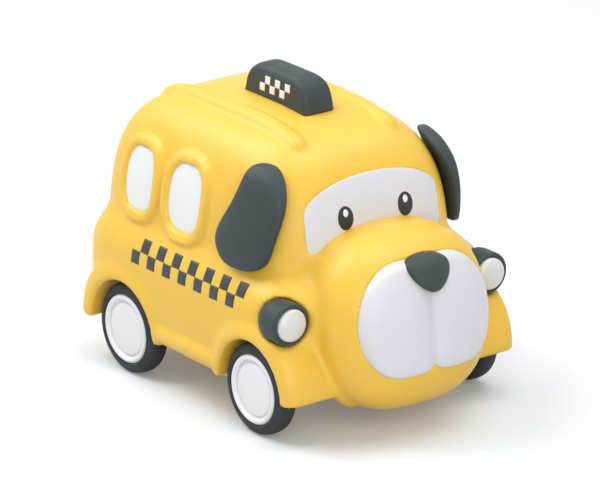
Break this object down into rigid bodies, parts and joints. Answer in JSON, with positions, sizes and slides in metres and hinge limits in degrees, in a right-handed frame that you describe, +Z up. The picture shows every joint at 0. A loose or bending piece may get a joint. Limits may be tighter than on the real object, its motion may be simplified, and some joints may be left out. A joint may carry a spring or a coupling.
{
  "type": "toy taxi",
  "caption": "Toy taxi with a dog's face: rounded moulded body with drooping ears, puffed muzzle, roof sign and check band, on wheels whose rear axle spins a geared flywheel.",
  "frame": {"origin": "on the ground under the middle of the car's bounding box", "axes": "+X forward towards the nose, +Y the car's left, +Z up"},
  "size_m": [0.1057, 0.072, 0.0797],
  "materials": {
    "body_yellow": "satin moulded",
    "panel_white": "satin",
    "charcoal": "satin moulded",
    "lens_white": "glossy",
    "hub_white": "satin",
    "tyre": "soft matt",
    "steel": "bright drawn",
    "gear_nylon": "natural",
    "brass": "turned",
    "case_black": "moulded"
  },
  "bodies": {
    "car": {"body_shell": "body_yellow", "chassis": "body_yellow", "base_screws": "steel", "windscreen": "panel_white", "window_right_front": "panel_white", "window_right_rear": "panel_white", "window_left_front": "panel_white", "window_left_rear": "panel_white", "back_window": "panel_white", "ear_right": "charcoal", "ear_left": "charcoal", "muzzle": "panel_white", "nose": "charcoal", "roof_sign": "charcoal", "lamp_housing_right": "charcoal", "lamp_housing_left": "charcoal", "lamp_lens_right": "lens_white", "lamp_lens_left": "lens_white", "motor_case": "case_black", "motor_cover": "case_black"},
    "front_wheels": {"front_axle": "steel", "tyre_front_right": "tyre", "tyre_front_left": "tyre", "hub_front_right": "hub_white", "hub_front_left": "hub_white"},
    "rear_wheels": {"rear_axle": "steel", "tyre_rear_right": "tyre", "tyre_rear_left": "tyre", "hub_rear_right": "hub_white", "hub_rear_left": "hub_white", "drive_gear": "gear_nylon"},
    "idler": {"idler_gear": "gear_nylon", "idler_shaft": "steel"},
    "flywheel": {"flywheel": "brass", "flywheel_shaft": "steel"}
  },
  "joints": [
    {"name": "front_axle_spin", "type": "hinge", "parent": "car", "child": "front_wheels", "pos_m": [0.0227, 0, 0.0116], "axis": [0, 1, 0], "continuous": true},
    {"name": "rear_axle_spin", "type": "hinge", "parent": "car", "child": "rear_wheels", "pos_m": [-0.0303, 0, 0.0116], "axis": [0, 1, 0], "continuous": true},
    {"name": "idler_spin", "type": "hinge", "parent": "car", "child": "idler", "pos_m": [-0.02379, 0, 0.01706], "axis": [0, 1, 0], "continuous": true},
    {"name": "flywheel_spin", "type": "hinge", "parent": "car", "child": "flywheel", "pos_m": [-0.01602, 0, 0.02052], "axis": [0, 1, 0], "continuous": true}
  ],
  "couplings": [
    {"joint": "idler_spin", "follows": "rear_axle_spin", "ratio": -2.4},
    {"joint": "flywheel_spin", "follows": "rear_axle_spin", "ratio": 5.76}
  ]
}
